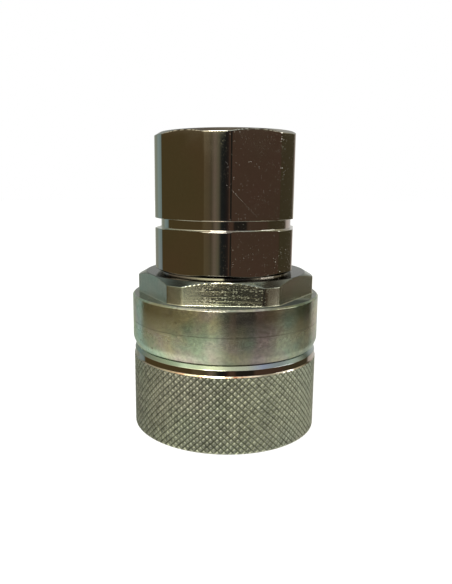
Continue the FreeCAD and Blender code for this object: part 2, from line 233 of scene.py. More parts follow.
class Nodes:
    # A short way to place shader nodes and join them.
    def __init__(self, tree):
        self.tree = tree

    def add(self, kind, links=None, **settings):
        node = self.tree.nodes.new(kind)
        for name, setting in settings.items():
            setattr(node, name, setting)
        for socket, source in (links or {}).items():
            self.feed(node, socket, source)
        return node

    def feed(self, node, socket, source):
        # Links a source to a socket, or sets the socket where the source is a plain value.
        if isinstance(source, bpy.types.NodeSocket):
            self.tree.links.new(source, node.inputs[socket])
        else:
            node.inputs[socket].default_value = source

    def group(self, tree, links):
        node = self.add("ShaderNodeGroup", node_tree=tree)
        for label, source in links.items():
            self.feed(node, label, source)
        return node.outputs

    def math(self, operation, first, second=0.0, third=0.0):
        links = {0: first, 1: second, 2: third}
        return self.add("ShaderNodeMath", links, operation=operation).outputs[0]

    def times(self, first, *others):
        for other in others:
            first = self.math("MULTIPLY", first, other)
        return first

    def awayFrom(self, source, middle):
        return self.math("ABSOLUTE", self.math("SUBTRACT", source, middle))

    def mix(self, factor, first, second, blend="MIX"):
        links = {0: factor, 6: first, 7: second}
        return self.add("ShaderNodeMix", links, data_type="RGBA", blend_type=blend).outputs[2]

    def grey(self, shade):
        return self.add("ShaderNodeCombineColor", {0: shade, 1: shade, 2: shade}).outputs[0]

    def range(self, source, low, high, toLow=0.0, toHigh=1.0):
        # toLow where the source is low, toHigh where it is high, and even in between.
        links = {0: source, 1: low, 2: high, 3: toLow, 4: toHigh}
        return self.add("ShaderNodeMapRange", links).outputs[0]

    def ramp(self, source, stops):
        node = self.add("ShaderNodeValToRGB", {0: source})
        elements = node.color_ramp.elements
        while len(elements) < len(stops):
            elements.new(0.5)
        for element, (position, colour) in zip(elements, stops):
            element.position = position
            element.color = (*colour, 1)
        return node.outputs[0]

    def objectPoint(self, scale=(1, 1, 1)):
        point = self.add("ShaderNodeTexCoord").outputs["Object"]
        return self.add("ShaderNodeMapping", {0: point, 3: scale}).outputs[0]

    def axes(self):
        # Across from left to right, back from front to rear, and up.
        return self.add("ShaderNodeSeparateXYZ", {0: self.objectPoint()}).outputs

    def noise(self, scale, detail=3.0, roughness=0.5, at=None):
        point = self.objectPoint() if at is None else at
        links = {"Vector": point, "Scale": scale, "Detail": detail, "Roughness": roughness}
        return self.add("ShaderNodeTexNoise", links).outputs[0]

    def lineNoise(self, along):
        links = {"W": along, "Scale": 1.0, "Detail": 2.0}
        return self.add("ShaderNodeTexNoise", links, noise_dimensions="1D").outputs[0]

    def cells(self, point, scale):
        # How far the middle of the nearest cell is, and a random colour for that cell.
        found = self.add("ShaderNodeTexVoronoi", {"Vector": point, "Scale": scale}).outputs
        chance = self.add("ShaderNodeSeparateColor", {0: found["Color"]}).outputs
        return found["Distance"], chance


def newGroup(name, inputs, outputs):
    group = bpy.data.node_groups.new(name, "ShaderNodeTree")
    for label, start in inputs.items():
        kind = "NodeSocketFloat" if isinstance(start, float) else "NodeSocketColor"
        socket = group.interface.new_socket(label, in_out="INPUT", socket_type=kind)
        socket.default_value = start
    for label, kind in outputs.items():
        group.interface.new_socket(label, in_out="OUTPUT", socket_type=kind)
    nodes = Nodes(group)
    return group, nodes, nodes.add("NodeGroupInput").outputs, nodes.add("NodeGroupOutput")


def makePlatingTint():
    # Slow cloudy change between three tints of the plating, with a fine mottle on top.
    white = (1, 1, 1, 1)
    group, nodes, given, out = newGroup(
        "platingTint",
        {"Cloud Size": 60.0, "First": white, "Second": white, "Third": white, "Mottle": 0.1},
        {"Color": "NodeSocketColor"})
    point = nodes.objectPoint()
    elsewhere = nodes.add("ShaderNodeVectorMath", {0: point, 1: (0.37, 0.11, 0.73)}, operation="ADD")
    cloud = nodes.noise(given["Cloud Size"], 2.0, at=point)
    other = nodes.noise(given["Cloud Size"], 2.0, at=elsewhere.outputs[0])
    firstMix = nodes.mix(nodes.range(cloud, 0.38, 0.62), given["First"], given["Second"])
    secondMix = nodes.mix(nodes.range(other, 0.48, 0.68), firstMix, given["Third"])
    fine = nodes.range(nodes.noise(900.0, 3.0, 0.6, at=point), 0.3, 0.7, -0.5, 0.5)
    shade = nodes.math("MULTIPLY_ADD", fine, given["Mottle"], 1.0)
    nodes.feed(out, 0, nodes.mix(1.0, secondMix, nodes.grey(shade), "MULTIPLY"))
    return group


def makeTurnedLines():
    # Fine rings left by the lathe tool: noise that changes only along the axis. The streaks
    # are the same noise, wideness times slower.
    wideness = 0.13
    group, nodes, given, out = newGroup(
        "turnedLines", {"Lines Per Metre": 4000.0, "Wobble": 0.5},
        {"Height": "NodeSocketFloat", "Streak": "NodeSocketFloat"})
    point = nodes.objectPoint()
    drift = nodes.noise(40.0, 1.0, at=point)
    height = nodes.add("ShaderNodeSeparateXYZ", {0: point}).outputs[2]
    along = nodes.times(height, given["Lines Per Metre"])
    bent = nodes.math("MULTIPLY_ADD", drift, given["Wobble"], along)
    nodes.feed(out, "Height", nodes.lineNoise(bent))
    nodes.feed(out, "Streak", nodes.lineNoise(nodes.times(bent, wideness)))
    return group


def makeSpecks():
    # Small dots scattered over the surface: a share of all cells, each with a dot of its own size.
    group, nodes, given, out = newGroup(
        "specks", {"Cells Per Metre": 900.0, "Share": 0.3, "Dot Size": 0.2},
        {"Mask": "NodeSocketFloat"})
    distance, chance = nodes.cells(nodes.objectPoint(), given["Cells Per Metre"])
    keep = nodes.math("LESS_THAN", chance[0], given["Share"])
    near = nodes.math("LESS_THAN", distance, nodes.times(given["Dot Size"], chance[1]))
    nodes.feed(out, "Mask", nodes.times(keep, near))
    return group


platingTint = makePlatingTint()
turnedLines = makeTurnedLines()
specks = makeSpecks()


def newMaterial(name):
    material = bpy.data.materials.new(name)
    material.use_nodes = True
    return material, Nodes(material.node_tree), material.node_tree.nodes["Principled BSDF"]


def tintFrom(nodes, settings):
    first, second, third = ((*tint, 1) for tint in settings["tints"])
    links = {"Cloud Size": settings["cloudSize"], "First": first, "Second": second,
             "Third": third, "Mottle": settings["mottle"]}
    return nodes.group(platingTint, links)["Color"]


def linesFrom(nodes, linesPerMetre, wobble):
    return nodes.group(turnedLines, {"Lines Per Metre": linesPerMetre, "Wobble": wobble})


def specksFrom(nodes, cellsPerMetre, share, dotSize):
    links = {"Cells Per Metre": cellsPerMetre, "Share": share, "Dot Size": dotSize}
    return nodes.group(specks, links)["Mask"]


def bumpFrom(nodes, shader, height, distance, strength=1.0, before=None):
    bump = nodes.add("ShaderNodeBump", {"Height": height, "Distance": distance, "Strength": strength})
    if before is not None:
        nodes.feed(bump, "Normal", before)
    nodes.feed(shader, "Normal", bump.outputs[0])
    return bump.outputs[0]


# In a finish's settings, places and depths are in metres. Two numbers are where a change
# begins and ends, or its two values; four are where it begins and ends, then the values.

def makeMirrorZinc():
    # Bright plating over smooth bar: near mirror, with fine pits in patches, mostly at the
    # right and low down, small dull flecks at the right, and a long scratch.
    settings = {
        "tints": [(0.86, 0.82, 0.74), (0.80, 0.80, 0.70), (0.88, 0.78, 0.74)], "cloudSize": 45.0,
        "mottle": 0.05, "haze": (0.035, 0.10), "largePits": (1800.0, 0.30, 0.30),
        "smallPits": (2900.0, 0.5, 0.42), "smallShare": 0.6, "pitsAcross": (-0.004, 0.006, 0.12, 1.0),
        "pitsUp": (0.085, 0.062, 0.35, 1.0), "inFront": (0.004, -0.006, 0.1, 1.0), "patchSize": 140.0,
        "patches": (0.4, 0.62, 0.3, 1.0), "pitRough": 0.32, "pitDepth": 0.00001,
        "flecks": (2500.0, 0.16, 0.36), "flecksAcross": (-0.001, 0.003), "fleckMetal": 0.72,
        "scratchLean": 1.05, "scratchHeight": 0.0842, "scratchWidth": 0.00022,
        "scratchMiddle": 0.0062, "scratchReach": 0.0040, "scratchShare": 0.45,
        "rippleSize": 160.0, "rippleDepth": 0.00001}
    material, nodes, shader = newMaterial("mirrorZinc")
    across, back, up = nodes.axes()
    tint = tintFrom(nodes, settings)
    nodes.feed(shader, "Base Color", tint)
    patchy = nodes.times(nodes.range(nodes.noise(settings["patchSize"], 2.0), *settings["patches"]),
                         nodes.range(back, *settings["inFront"]))
    amount = nodes.times(nodes.range(across, *settings["pitsAcross"]),
                         nodes.range(up, *settings["pitsUp"]), patchy)
    smallPits = nodes.times(specksFrom(nodes, *settings["smallPits"]), settings["smallShare"])
    pits = nodes.math("MAXIMUM", specksFrom(nodes, *settings["largePits"]), smallPits)
    flecks = nodes.times(specksFrom(nodes, *settings["flecks"]),
                         nodes.range(across, *settings["flecksAcross"]), patchy)
    nodes.feed(shader, "Metallic", nodes.range(flecks, 0.0, 1.0, 1.0, settings["fleckMetal"]))
    onLine = nodes.math("MULTIPLY_ADD", across, settings["scratchLean"], up)
    thin = nodes.math("LESS_THAN", nodes.awayFrom(onLine, settings["scratchHeight"]),
                      nodes.times(nodes.noise(700.0, 2.0), settings["scratchWidth"]))
    within = nodes.math("LESS_THAN", nodes.awayFrom(across, settings["scratchMiddle"]),
                        settings["scratchReach"])
    nearSide = nodes.math("LESS_THAN", back, 0.0)
    scratch = nodes.times(thin, within, nearSide, settings["scratchShare"])
    marks = nodes.math("MAXIMUM", nodes.times(pits, amount), scratch)
    haze = nodes.range(nodes.noise(120.0, 4.0), 0.4, 0.75, *settings["haze"])
    nodes.feed(shader, "Roughness", nodes.math("MULTIPLY_ADD", marks, settings["pitRough"], haze))
    ripple = nodes.noise(settings["rippleSize"], 1.0, at=nodes.objectPoint((1, 1, 0.15)))
    rippled = bumpFrom(nodes, shader, ripple, settings["rippleDepth"], 0.5)
    bumpFrom(nodes, shader, marks, settings["pitDepth"], 1.0, rippled)
    return material


def makeSatinZinc():
    # Turned plating with green, yellow and rose passivation tints. It is duller low down, and
    # painted light makes its colour paler at the left. It has small stains and one scribed line round
    # it.
    settings = {
        "tints": [(0.54, 0.70, 0.54), (0.78, 0.76, 0.51), (0.75, 0.66, 0.63)], "cloudSize": 85.0,
        "mottle": 0.42, "linesPerMetre": 1500.0, "wobble": 0.4, "lineDepth": 0.000006,
        "streaked": 0.2, "streakColour": (0.40, 0.40, 0.32, 1), "stains": (700.0, 0.14, 0.28),
        "stained": 0.6, "stainColour": (0.12, 0.12, 0.08, 1), "leftward": (-0.002, -0.020),
        "plain": (0.98, 0.98, 1.0, 1), "pale": (1.4, 1.42, 1.45, 1), "scribeHeight": 0.0379,
        "scribeWidth": (0.00016, 0.00004), "scribed": 0.6, "scribeColour": (0.16, 0.16, 0.12, 1),
        "dullUpTo": (0.0350, 0.0465), "metallic": (0.86, 0.99), "roughness": (0.30, 0.20),
        "unevenness": (-0.012, 0.012), "brushed": 0.9}
    material, nodes, shader = newMaterial("satinZinc")
    across, _, up = nodes.axes()
    tint = tintFrom(nodes, settings)
    lines = linesFrom(nodes, settings["linesPerMetre"], settings["wobble"])
    streaks = nodes.range(lines["Streak"], 0.3, 0.7, 0.0, settings["streaked"])
    stains = nodes.times(specksFrom(nodes, *settings["stains"]), settings["stained"])
    colour = nodes.mix(streaks, tint, settings["streakColour"])
    colour = nodes.mix(stains, colour, settings["stainColour"])
    # Painted light: the colour is multiplied up to pale towards the left.
    paintedLeftLight = nodes.mix(nodes.range(across, *settings["leftward"]), settings["plain"], settings["pale"])
    scribe = nodes.range(nodes.awayFrom(up, settings["scribeHeight"]), *settings["scribeWidth"],
                         0.0, settings["scribed"])
    colour = nodes.mix(1.0, colour, paintedLeftLight, "MULTIPLY")
    nodes.feed(shader, "Base Color", nodes.mix(scribe, colour, settings["scribeColour"]))
    wander = nodes.math("MULTIPLY_ADD", nodes.noise(45.0, 0.0), 0.006, up)
    metallic = nodes.range(wander, *settings["dullUpTo"], *settings["metallic"])
    nodes.feed(shader, "Metallic", metallic)
    nodes.feed(shader, "Anisotropic", settings["brushed"])
    nodes.feed(shader, "Anisotropic Rotation", 0.25)
    uneven = nodes.range(nodes.noise(200.0, 4.0), 0.3, 0.7, *settings["unevenness"])
    rough = nodes.range(wander, *settings["dullUpTo"], *settings["roughness"])
    nodes.feed(shader, "Roughness", nodes.math("ADD", uneven, rough))
    bumpFrom(nodes, shader, lines["Height"], settings["lineDepth"], 0.4)
    return material


def makeFlatZinc():
    # The body's flats: rough bar with small facets in level rows that catch the light. The
    # rows are noise that changes only with height.
    settings = {
        "tints": [(0.70, 0.70, 0.55), (0.64, 0.69, 0.56), (0.74, 0.70, 0.57)], "cloudSize": 70.0,
        "mottle": 0.2, "metallic": 0.985, "brushed": 0.6, "ruggedAcross": (-0.0095, -0.0035),
        "ruggedInFront": (-0.0268, -0.0272), "shadedAcross": (-0.005, 0.003), "shaded": 0.34,
        "grainSize": 2100.0, "grainRows": (0.44, 0.60, 0.15, 1.0), "facetSize": 1150.0,
        "facetWidth": 0.42, "facetRows": 2.2, "facetShare": (1.65, 1.85), "facetRough": 0.26,
        "roughness": (0.27, 0.18), "depth": 0.00006, "smoothShare": 0.17}
    material, nodes, shader = newMaterial("flatZinc")
    across, back, _ = nodes.axes()
    tint = tintFrom(nodes, settings)
    nodes.feed(shader, "Metallic", settings["metallic"])
    nodes.feed(shader, "Anisotropic", settings["brushed"])
    nodes.feed(shader, "Anisotropic Rotation", 0.25)
    rugged = nodes.times(nodes.range(across, *settings["ruggedAcross"]),
                         nodes.range(back, *settings["ruggedInFront"]))
    # Painted shade: the rugged stretch's colour darkens towards the right.
    shaded = nodes.times(rugged, nodes.range(across, *settings["shadedAcross"]), settings["shaded"])
    nodes.feed(shader, "Base Color", nodes.mix(shaded, tint, (0.0, 0.0, 0.0, 1)))
    level = nodes.objectPoint((1, 1, 2.0))
    grainRows = nodes.noise(1250.0, 1.0, at=nodes.objectPoint((0.05, 0.05, 1)))
    grain = nodes.times(nodes.noise(settings["grainSize"], 2.0, 0.6, at=level),
                        nodes.range(grainRows, *settings["grainRows"]))
    distance, chance = nodes.cells(level, settings["facetSize"])
    facetRows = nodes.noise(1100.0, 1.0, at=nodes.objectPoint((0.06, 0.06, 1)))
    chosen = nodes.math("ADD", chance[0], nodes.times(facetRows, settings["facetRows"]))
    facets = nodes.times(nodes.math("LESS_THAN", distance, settings["facetWidth"]),
                         nodes.range(chosen, *settings["facetShare"]), rugged)
    rough = nodes.range(rugged, 0.0, 1.0, *settings["roughness"])
    nodes.feed(shader, "Roughness", nodes.math("MULTIPLY_ADD", facets, settings["facetRough"], rough))
    share = nodes.range(rugged, 0.0, 1.0, settings["smoothShare"], 1.0)
    bumpFrom(nodes, shader, nodes.times(grain, share), settings["depth"])
    return material


def makeCrownZinc():
    # Turned crown of the body. The level ring inside it lies in the adaptor's shade, and the
    # collar's top edge in front has a painted dark reflection: dark colour and almost no metal.
    settings = {
        "tints": [(0.42, 0.46, 0.40), (0.44, 0.44, 0.37), (0.40, 0.42, 0.38)], "cloudSize": 60.0,
        "mottle": 0.15, "ringColour": (0.10, 0.10, 0.09, 1), "dullUp": (0.0469, 0.0467),
        "dullBack": (-0.010, -0.016), "dullAcross": (-0.021, -0.015), "dullMetal": 0.06,
        "dullColour": (0.07, 0.08, 0.075, 1), "roughness": 0.14}
    material, nodes, shader = newMaterial("crownZinc")
    across, back, up = nodes.axes()
    tint = tintFrom(nodes, settings)
    onRing = nodes.range(up, (bodyTop - 0.12) * mm, (bodyTop - 0.03) * mm)
    # Painted dark reflection on the collar's top edge in front: dark colour, little metal.
    darkReflection = nodes.times(nodes.range(up, *settings["dullUp"]), nodes.range(back, *settings["dullBack"]),
                       nodes.range(across, *settings["dullAcross"]))
    colour = nodes.mix(onRing, tint, settings["ringColour"])
    nodes.feed(shader, "Base Color", nodes.mix(darkReflection, colour, settings["dullColour"]))
    nodes.feed(shader, "Metallic", nodes.range(darkReflection, 0.0, 1.0, 1.0, settings["dullMetal"]))
    nodes.feed(shader, "Specular IOR Level", 0.0)
    nodes.feed(shader, "Roughness", settings["roughness"])
    return material


def makeBandZinc():
    # Polished band at the top of the sleeve. Its bevel has thin-film green, yellow and blue from
    # left to right, and the edge above the knurl, in front, has a painted coppery gold highlight.
    settings = {
        "film": [(0.0, (0.66, 0.76, 0.70)), (0.25, (0.62, 0.80, 0.66)), (0.45, (0.78, 0.84, 0.58)),
                 (0.62, (0.76, 0.76, 0.62)), (0.70, (0.50, 0.55, 0.76)), (0.85, (0.56, 0.74, 0.80)),
                 (1.0, (0.66, 0.78, 0.76))],
        "filmUp": (0.02735, 0.02765), "plain": (0.86, 0.80, 0.70, 1), "copper": (0.80, 0.42, 0.26, 1),
        "gold": (1.0, 0.88, 0.62, 1), "patchSize": 420.0, "rubbedBelow": (0.02570, 0.02560),
        "rubbedAbove": (0.0240, 0.0246), "rubbedMiddle": -0.003, "rubbedReach": (0.017, 0.009),
        "roughness": (0.08, 0.16), "rubbedRough": 0.12, "dentDepth": 0.00012, "plainDents": 0.08}
    material, nodes, shader = newMaterial("bandZinc")
    across, _, up = nodes.axes()
    film = nodes.ramp(nodes.range(across, -0.032, 0.032), settings["film"])
    patches = nodes.noise(settings["patchSize"], 2.0, at=nodes.objectPoint((1, 1, 0.2)))
    # Painted highlight: coppery gold colour on the edge above the knurl, at the front only.
    highlightTint = nodes.mix(nodes.range(patches, 0.42, 0.56), settings["copper"], settings["gold"])
    highlightEdge = nodes.times(
        nodes.range(up, *settings["rubbedBelow"]), nodes.range(up, *settings["rubbedAbove"]),
        nodes.range(nodes.awayFrom(across, settings["rubbedMiddle"]), *settings["rubbedReach"]))
    onBevel = nodes.range(up, *settings["filmUp"])
    band = nodes.mix(highlightEdge, settings["plain"], highlightTint)
    nodes.feed(shader, "Base Color", nodes.mix(onBevel, band, film))
    nodes.feed(shader, "Metallic", 1.0)
    rough = nodes.range(onBevel, 0.0, 1.0, *settings["roughness"])
    rough = nodes.math("MULTIPLY_ADD", highlightEdge, settings["rubbedRough"], rough)
    nodes.feed(shader, "Roughness", rough)
    dents = nodes.times(patches, nodes.range(highlightEdge, 0.0, 1.0, settings["plainDents"], 1.0))
    bumpFrom(nodes, shader, dents, settings["dentDepth"], 0.6)
    return material


def makeKnurlZinc():
    # Plated knurl: grey-green crests with worn patches, painted shade darkening the cuts, which
    # are also rougher, and painted light making the knurl paler at the right than at the left.
    settings = {
        "tints": [(0.38, 0.42, 0.35), (0.44, 0.46, 0.37), (0.42, 0.42, 0.36)], "cloudSize": 40.0,
        "mottle": 0.3, "wornSize": 650.0, "worn": (-0.34, 0.34),
        "leftShade": (-0.032, 0.012, 0.80, 0.98), "rightShade": (0.012, 0.019, 0.0, 0.32),
        "downCut": [(0.0, (0.80, 0.80, 0.80)), (0.16, (0.98, 0.98, 0.96)), (0.34, (1.0, 1.0, 0.98)),
                    (0.60, (0.58, 0.59, 0.53)), (0.90, (0.30, 0.31, 0.26))],
        "metallic": 0.72, "roughness": (0.42, 0.55), "grainSize": 2600.0, "grainDepth": 0.00004}
    material, nodes, shader = newMaterial("knurlZinc")
    across = nodes.axes()[0]
    tint = tintFrom(nodes, settings)
    cutDepth = nodes.add("ShaderNodeAttribute", attribute_name="cutDepth").outputs["Fac"]
    # Painted light and shade: the colour darkens towards the left and pales towards the right.
    shade = nodes.math("ADD", nodes.range(across, *settings["leftShade"]),
                       nodes.range(across, *settings["rightShade"]))
    worn = nodes.range(nodes.noise(settings["wornSize"], 3.0), 0.3, 0.7, *settings["worn"])
    crests = nodes.mix(1.0, tint, nodes.grey(nodes.math("ADD", shade, worn)), "MULTIPLY")
    # Painted shade: the colour darkens down in the cuts.
    cutShadeColour = nodes.ramp(cutDepth, settings["downCut"])
    nodes.feed(shader, "Base Color", nodes.mix(1.0, crests, cutShadeColour, "MULTIPLY"))
    nodes.feed(shader, "Metallic", settings["metallic"])
    nodes.feed(shader, "Roughness", nodes.range(cutDepth, 0.0, 1.0, *settings["roughness"]))
    bumpFrom(nodes, shader, nodes.noise(settings["grainSize"], 3.0), settings["grainDepth"], 0.6)
    return material


def makeMachinedSteel(name, colour, roughness, linesPerMetre, brushed=0.5):
    # Turned steel in three near shades of one colour.
    tints = [[part * shade for part in colour] for shade in (1.0, 0.92, 1.04)]
    settings = {"tints": tints, "cloudSize": 80.0, "mottle": 0.08, "lineDepth": 0.00001}
    material, nodes, shader = newMaterial(name)
    nodes.feed(shader, "Base Color", tintFrom(nodes, settings))
    lines = linesFrom(nodes, linesPerMetre, 0.4)
    nodes.feed(shader, "Metallic", 1.0)
    nodes.feed(shader, "Anisotropic", brushed)
    rough = nodes.range(lines["Streak"], 0.3, 0.7, roughness, roughness * 1.5)
    nodes.feed(shader, "Roughness", rough)
    bumpFrom(nodes, shader, lines["Height"], settings["lineDepth"], 0.4)
    return material


def makeMoulded(name, colour, roughness, grainSize):
    # Moulded rubber or plastic with a fine grain.
    tints = [[part * shade for part in colour] for shade in (1.0, 0.8, 1.1)]
    settings = {"tints": tints, "cloudSize": 120.0, "mottle": 0.15, "grainDepth": 0.00002}
    material, nodes, shader = newMaterial(name)
    nodes.feed(shader, "Base Color", tintFrom(nodes, settings))
    grain = nodes.noise(grainSize, 3.0)
    nodes.feed(shader, "Roughness", nodes.range(grain, 0.3, 0.7, roughness, roughness + 0.15))
    bumpFrom(nodes, shader, grain, settings["grainDepth"], 0.3)
    return material


bandZinc = makeBandZinc()
crownZinc = makeCrownZinc()
flatZinc = makeFlatZinc()
finishes = {
    "zinc_bright": makeMirrorZinc(), "zinc_satin": makeSatinZinc(), "zinc_knurl": makeKnurlZinc(),
    "barrel_steel": makeMachinedSteel("barrelSteel", (0.62, 0.62, 0.55), 0.22, 6000.0),
    "ground_steel": makeMachinedSteel("groundSteel", (0.74, 0.74, 0.73), 0.12, 9000.0),
    "spring_steel": makeMachinedSteel("springSteel", (0.42, 0.42, 0.43), 0.30, 3000.0, 0.0),
    "plain_steel": makeMachinedSteel("plainSteel", (0.58, 0.58, 0.57), 0.30, 5000.0),
    "nitrile": makeMoulded("nitrile", (0.022, 0.022, 0.024), 0.45, 1500.0),
    "ptfe": makeMoulded("ptfe", (0.80, 0.79, 0.74), 0.40, 900.0)}
print("finishes ready:", len(bpy.data.materials))


def threadShape(phase, crestShare, flankShare):
    # One turn of a thread, 0 at the crest and 1 at the root, with soft corners.
    across = np.abs((phase % 1.0) * 2 - 1)
    ramp = np.clip((across - crestShare) / flankShare, 0, 1)
    return ramp * ramp * (3 - 2 * ramp)


def fadeAtEnds(position, low, high, fade):
    # 0 outside the stretch from low to high and 1 inside, with a smooth change.
    rise = np.clip((position - low) / fade, 0, 1)
    fall = np.clip((high - position) / fade, 0, 1)
    return rise * rise * (3 - 2 * rise) * fall * fall * (3 - 2 * fall)


def threadRings(mesh, angles, minor, start, end, size):
    # Radius = minor + depth times the thread's shape, whose phase moves once round per pitch.
    low, high = sorted((start, end))
    for height in np.linspace(start, end, size["threadRows"]):
        phase = height / size["pitch"] - angles / turn
        cut = size["threadDepth"] * threadShape(phase, size["crestShare"], size["flankShare"])
        mesh.rings(angles, minor + cut * fadeAtEnds(height, low, high, size["threadFade"]), height)


def addRow(rows, radius, height, onHex, sloping):
    # One more row of an outline. A sloping stretch before it gets five rows, evenly spaced.
    if sloping:
        lastRadius, lastHeight = rows[-1][:2]
        for share in np.linspace(0, 1, 7)[1:-1]:
            rows.append((lastRadius + (radius - lastRadius) * share,
                         lastHeight + (height - lastHeight) * share, True))
    rows.append((radius, height, onHex))


def buildAdaptor():
    # The hexagon stands on the body; its corners are turned, and its port is threaded. Each
    # row of the outline is a ring about the axis, and on the hexagon its radius at each angle
    # is the smaller of the flat's distance and the outline's radius.
    size = {"flats": 46.0, "corner": 24.45, "crown": 22.5, "slope": 0.577, "turnDegrees": -95.17,
            "footGap": 0.35, "footRadius": 22.6, "land": 22.2, "spigot": 21.0, "grooveLow": 14.65,
            "grooveWidth": 3.3, "grooveRadius": 22.15, "blend": 0.16, "pitch": 2.309,
            "threadDepth": 1.475, "threadFade": 1.6, "threadRows": 112, "crestShare": 0.12,
            "flankShare": 0.76, "portDepth": 20.0, "portRim": 17.6, "lead": 1.755,
            "edgeOut": 0.15, "edgeDown": 0.05, "runout": 2.3, "flow": 12.5, "nutRoom": 15.5,
            "nutRoomHeight": 14.0}
    hexFoot = bodyTop + size["footGap"]
    portFoot = adaptorTop - size["portDepth"]
    drop = (size["corner"] - size["crown"]) * size["slope"]
    footDrop = (size["corner"] - size["footRadius"]) * size["slope"]
    grooveLow = hexFoot + size["grooveLow"]
    grooveHigh = grooveLow + size["grooveWidth"]
    fine = evenAngles(720, math.radians(size["turnDegrees"]))
    coarse = fine[::3]
    hexagon = hexRadius(fine, size["flats"], math.radians(size["turnDegrees"]))
    mesh = RingMesh("adaptorHex")
    outer = roundedOutline([
        (size["nutRoom"], adaptorFoot, 0), (size["spigot"], adaptorFoot, 0.4),
        (size["spigot"], bodyTop, 0), (size["land"], bodyTop, 0), (size["land"], hexFoot, 0),
        (size["footRadius"], hexFoot, 0.1), (size["corner"], hexFoot + footDrop, 0.25),
        (size["corner"], grooveLow, 0.18), (size["grooveRadius"], grooveLow, 0.3),
        (size["grooveRadius"], grooveHigh, 0.3), (size["corner"], grooveHigh, 0.18),
        (size["corner"], adaptorTop - drop, 0.25), (size["crown"], adaptorTop, 0.25),
        (size["portRim"], adaptorTop, 0)], steps=5)
    rows = []
    for radius, height in outer:
        last = rows[-1] if rows else (radius, height, False)
        sloping = last[2] and abs(radius - last[0]) > 0.8 and abs(height - last[1]) > 0.3
        addRow(rows, radius, height, height > hexFoot - hair, sloping)
    for radius, height, onHex in rows:
        if height < bodyTop - hair:
            mesh.rings(coarse, radius, height)
        elif onHex and radius > size["spigot"] + 0.5:
            mesh.rings(fine, softMin(hexagon, radius, size["blend"]), height)
        else:
            mesh.rings(fine, radius, height)
    portMajor = portMinor + size["lead"]
    runoutFoot = portFoot - size["runout"]
    nutRoomTop = adaptorFoot + size["nutRoomHeight"]
    mesh.rings(coarse, portMajor + size["edgeOut"], adaptorTop)
    mesh.rings(coarse, portMajor, adaptorTop - size["edgeDown"])
    threadRings(mesh, coarse, portMinor, adaptorTop - size["lead"], portFoot, size)
    for radius, height in ((portMajor, portFoot), (portMajor, runoutFoot), (size["flow"], runoutFoot),
                           (size["flow"], nutRoomTop), (size["nutRoom"], nutRoomTop)):
        mesh.rings(coarse, radius, height, height - crease)
    piece = mesh.build()
    piece.data.materials.append(finishes["zinc_bright"])
    finishPiece(piece, "coupler_body", "rear_adaptor")


def buildBody():
    # A turned collar with a hexagon on it. Each row of the outline is a ring about the axis,
    # and on the hexagon its radius is the smaller of the flat's distance and the outline's.
    size = {"flats": 55.0, "corner": 30.26, "crown": 27.4, "slope": 0.577, "collarTop": 46.65,
            "collarInset": 0.55, "edgeRadial": 1.0, "edgeHeight": 2.0, "barrelThread": 22.1,
            "stepBore": 17.3, "socket": 21.1, "blend": 0.2, "fillet": 0.35, "skirt": 27.0,
            "footDrop": 0.45}
    collar = radiusOf("hex_collar_body")
    drop = (size["corner"] - size["crown"]) * size["slope"]
    fine = evenAngles(720)
    coarse = fine[::3]
    hexagon = hexRadius(fine, size["flats"], 0.0)
    mesh = RingMesh("collarBody")
    outer = roundedOutline([
        (size["barrelThread"], bodyFoot, 0), (size["skirt"], bodyFoot, 0),
        (size["skirt"], bodyFoot - size["footDrop"], 0.1),
        (collar - size["edgeRadial"], bodyFoot - size["footDrop"], 0.5),
        (collar, bodyFoot + size["edgeHeight"], 3.2),
        (collar, size["collarTop"] - size["collarInset"], 0.2),
        (collar - size["collarInset"], size["collarTop"], 0.2),
        (size["corner"], size["collarTop"], 0.0), (size["corner"], bodyTop - drop, 0.3),
        (size["crown"], bodyTop, 0.3), (size["socket"], bodyTop, 0.0)], steps=5)
    rows = []
    for radius, height in outer:
        onHex = height > size["collarTop"] - hair and radius < size["corner"] + hair
        sloping = onHex and height > bodyTop - drop and radius > size["crown"]
        addRow(rows, radius, height, onHex, sloping)
    for radius, height, onHex in rows:
        atHexFoot = abs(height - size["collarTop"]) < hair and abs(radius - size["corner"]) < hair
        flat = softMin(hexagon, radius, size["blend"])
        if onHex and atHexFoot:
            for lean in np.radians([90, 78, 60, 40, 20, 5]):
                away = size["fillet"] * (1 - math.cos(lean))
                up = size["fillet"] * (1 - math.sin(lean))
                mesh.rings(fine, flat + away, size["collarTop"] + up)
        elif radius < size["socket"] + 1.5:
            mesh.rings(coarse, radius, height)
        else:
            mesh.rings(fine, flat if onHex else radius, height)
    for radius, height in ((size["socket"], spiderFoot), (size["stepBore"], spiderFoot),
                           (size["stepBore"], barrelTop), (size["barrelThread"], barrelTop)):
        mesh.rings(coarse, radius, height + crease, height)
    piece = mesh.build()
    centres = faceCentres(piece)
    fromAxis, up = np.hypot(centres[:, 0], centres[:, 1]), centres[:, 2]
    flats = (up > size["collarTop"] + hair) & (up < bodyTop - hair) & (fromAxis > size["socket"] + 2)
    crown = flats & (up > bodyTop - (fromAxis - size["crown"]) * size["slope"] - 0.1)
    level = (np.abs(up - size["collarTop"]) < hair) | (up > bodyTop - hair)
    setFinishes(piece, np.where(crown | level, 2, np.where(flats, 1, 0)),
                [finishes["zinc_satin"], flatZinc, crownZinc])
    finishPiece(piece, "coupler_body", "hex_collar_body")


def knurlCut(around, along):
    # How deep the knurl is cut, 0 on a crest and 1 in a cut. Two families of straight cuts
    # cross, one rising and one falling, and the deeper of the two counts.
    def family(phase):
        fromCut = np.abs((phase % 1.0 + 0.5) % 1.0 - 0.5)
        return np.interp(fromCut, [0.0, 0.25, 0.5], [1.0, 0.15, 0.0])

    return np.maximum(family(around + along), family(around - along))


